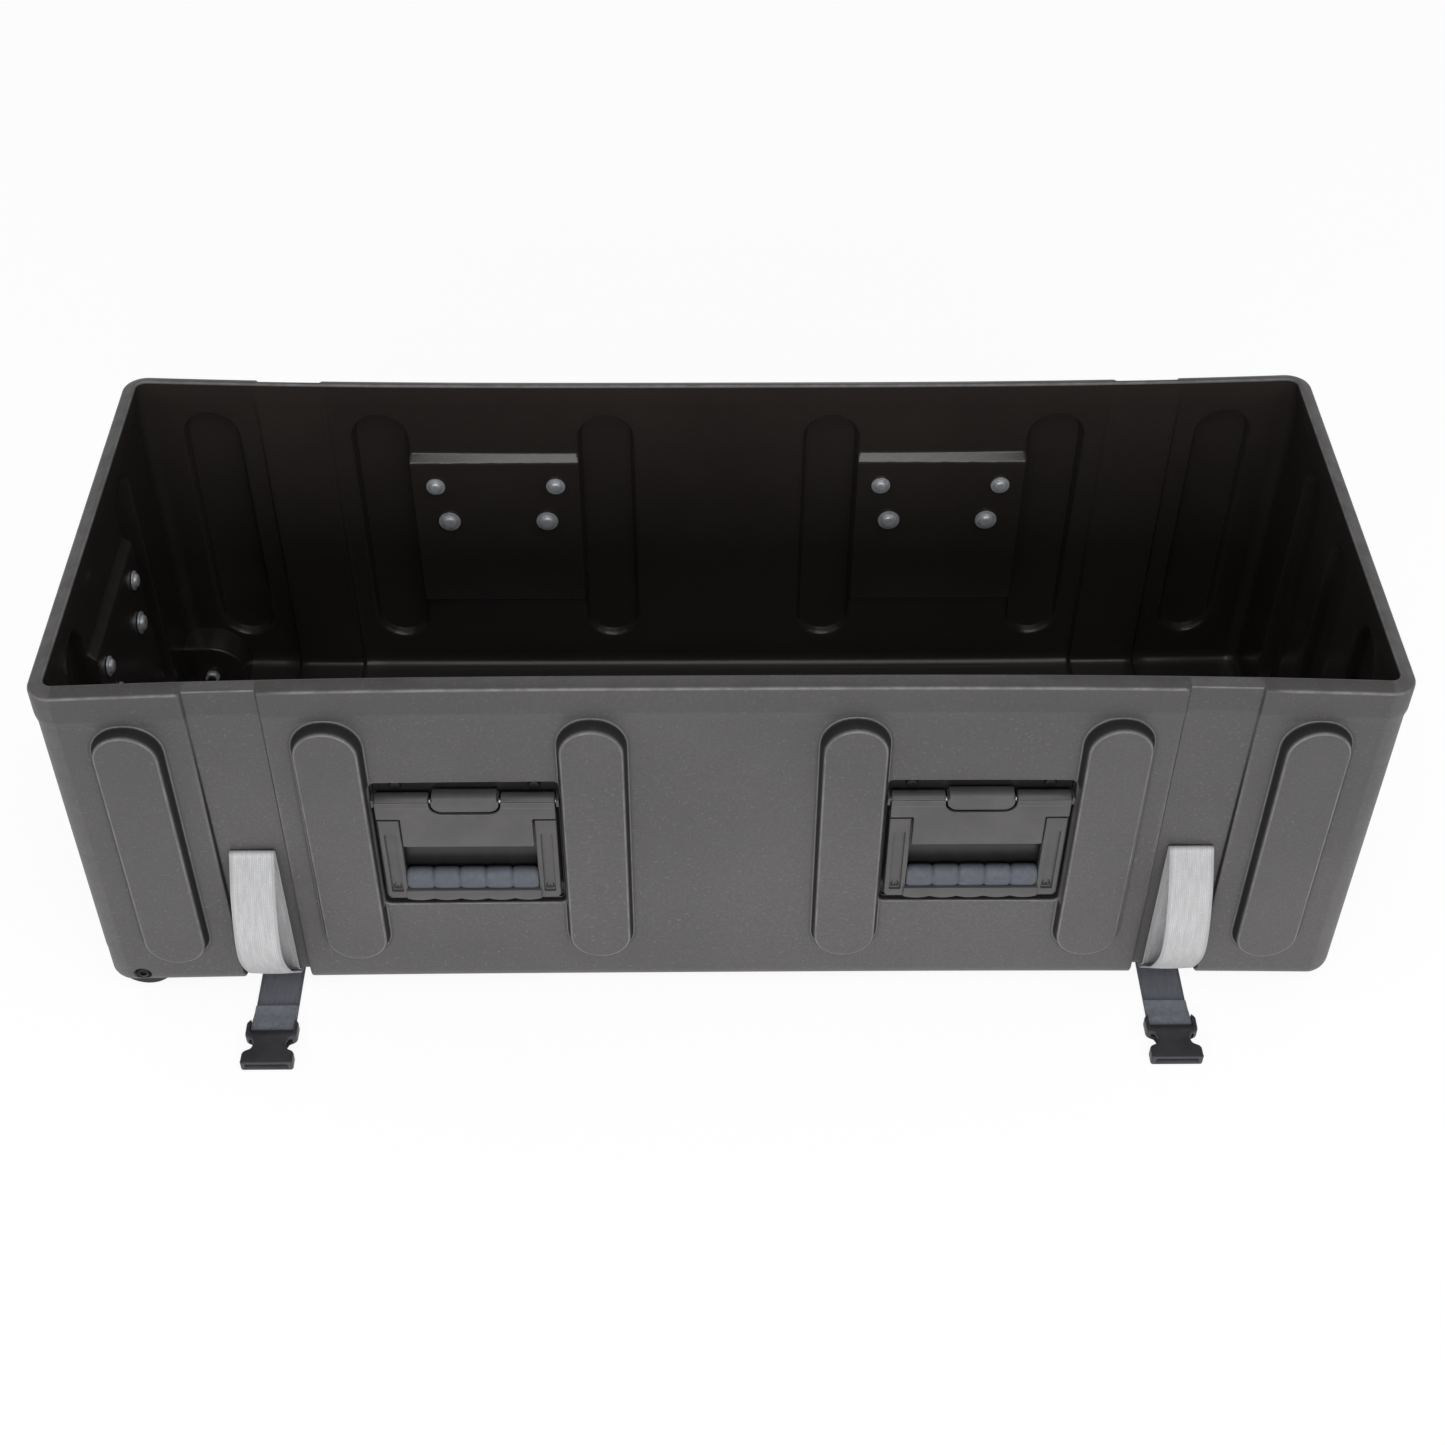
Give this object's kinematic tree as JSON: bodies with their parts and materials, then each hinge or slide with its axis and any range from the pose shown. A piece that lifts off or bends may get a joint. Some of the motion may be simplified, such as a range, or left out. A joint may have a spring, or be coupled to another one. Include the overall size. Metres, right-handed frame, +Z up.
{
  "type": "drum hardware case",
  "caption": "Open base of a long moulded plastic case for drum hardware, with sprung side handles, wheels at one end, ribbed pads and webbing straps with release buckles.",
  "frame": {"origin": "centre of the footprint on the ground, under the middle of the case", "axes": "+X along the case, away from the wheels; -Y towards the front wall with the socket buckles; +Z up"},
  "size_m": [1.111, 0.602, 0.364],
  "materials": {
    "case_plastic": "fine pebble texture outside, glossy inside",
    "handle_nylon": "satin",
    "grip_rubber": "matt",
    "zinc": "bright zinc plate",
    "spring_steel": "oiled",
    "tyre": "matt",
    "webbing": "woven",
    "dark_webbing": "woven",
    "buckle_plastic": "satin"
  },
  "bodies": {
    "case": {"case_tub": "case_plastic", "handle_dish_front_left": "handle_nylon", "handle_pin_front_left": "zinc", "handle_spring_front_left": "spring_steel", "handle_bolt_front_left_1": "zinc", "handle_bolt_front_left_2": "zinc", "handle_dish_front_right": "handle_nylon", "handle_pin_front_right": "zinc", "handle_spring_front_right": "spring_steel", "handle_bolt_front_right_1": "zinc", "handle_bolt_front_right_2": "zinc", "handle_dish_back_left": "handle_nylon", "handle_pin_back_left": "zinc", "handle_spring_back_left": "spring_steel", "handle_bolt_back_left_1": "zinc", "handle_bolt_back_left_2": "zinc", "handle_dish_back_right": "handle_nylon", "handle_pin_back_right": "zinc", "handle_spring_back_right": "spring_steel", "handle_bolt_back_right_1": "zinc", "handle_bolt_back_right_2": "zinc", "handle_dish_end": "handle_nylon", "handle_pin_end": "zinc", "handle_spring_end": "spring_steel", "handle_bolt_end_1": "zinc", "handle_bolt_end_2": "zinc", "wheel_axle_front": "zinc", "wheel_nut_front": "zinc", "wheel_axle_back": "zinc", "wheel_nut_back": "zinc", "strap_left": "webbing", "strap_tail_left": "dark_webbing", "buckle_socket_left": "buckle_plastic", "buckle_plug_left": "buckle_plastic", "strap_right": "webbing", "strap_tail_right": "dark_webbing", "buckle_socket_right": "buckle_plastic", "buckle_plug_right": "buckle_plastic"},
    "handle_front_left": {"handle_bail_front_left": "handle_nylon", "handle_grip_front_left": "grip_rubber"},
    "handle_front_right": {"handle_bail_front_right": "handle_nylon", "handle_grip_front_right": "grip_rubber"},
    "handle_back_left": {"handle_bail_back_left": "handle_nylon", "handle_grip_back_left": "grip_rubber"},
    "handle_back_right": {"handle_bail_back_right": "handle_nylon", "handle_grip_back_right": "grip_rubber"},
    "handle_end": {"handle_bail_end": "handle_nylon", "handle_grip_end": "grip_rubber"},
    "wheel_front": {"wheel_tyre_front": "tyre", "wheel_hub_front": "handle_nylon"},
    "wheel_back": {"wheel_tyre_back": "tyre", "wheel_hub_back": "handle_nylon"}
  },
  "joints": [
    {"name": "handle_hinge_front_left", "type": "hinge", "parent": "case", "child": "handle_front_left", "pos_m": [-0.212, -0.20898, 0.241], "axis": [-1, 0, 0], "range_deg": [0, 90], "stiffness_Nm_per_rad": 0.12, "springref_deg": -20.05},
    {"name": "handle_hinge_front_right", "type": "hinge", "parent": "case", "child": "handle_front_right", "pos_m": [0.212, -0.20898, 0.241], "axis": [-1, 0, 0], "range_deg": [0, 90], "stiffness_Nm_per_rad": 0.12, "springref_deg": -20.05},
    {"name": "handle_hinge_back_left", "type": "hinge", "parent": "case", "child": "handle_back_left", "pos_m": [-0.212, 0.20898, 0.241], "axis": [1, 0, 0], "range_deg": [0, 90], "stiffness_Nm_per_rad": 0.12, "springref_deg": -20.05},
    {"name": "handle_hinge_back_right", "type": "hinge", "parent": "case", "child": "handle_back_right", "pos_m": [0.212, 0.20898, 0.241], "axis": [1, 0, 0], "range_deg": [0, 90], "stiffness_Nm_per_rad": 0.12, "springref_deg": -20.05},
    {"name": "handle_hinge_end", "type": "hinge", "parent": "case", "child": "handle_end", "pos_m": [-0.546, 0, 0.241], "axis": [0, 1, 0], "range_deg": [0, 90], "stiffness_Nm_per_rad": 0.12, "springref_deg": -20.05},
    {"name": "wheel_spin_front", "type": "hinge", "parent": "case", "child": "wheel_front", "pos_m": [-0.514, -0.1935, 0.026], "axis": [0, 1, 0], "continuous": true},
    {"name": "wheel_spin_back", "type": "hinge", "parent": "case", "child": "wheel_back", "pos_m": [-0.514, 0.1935, 0.026], "axis": [0, 1, 0], "continuous": true}
  ]
}
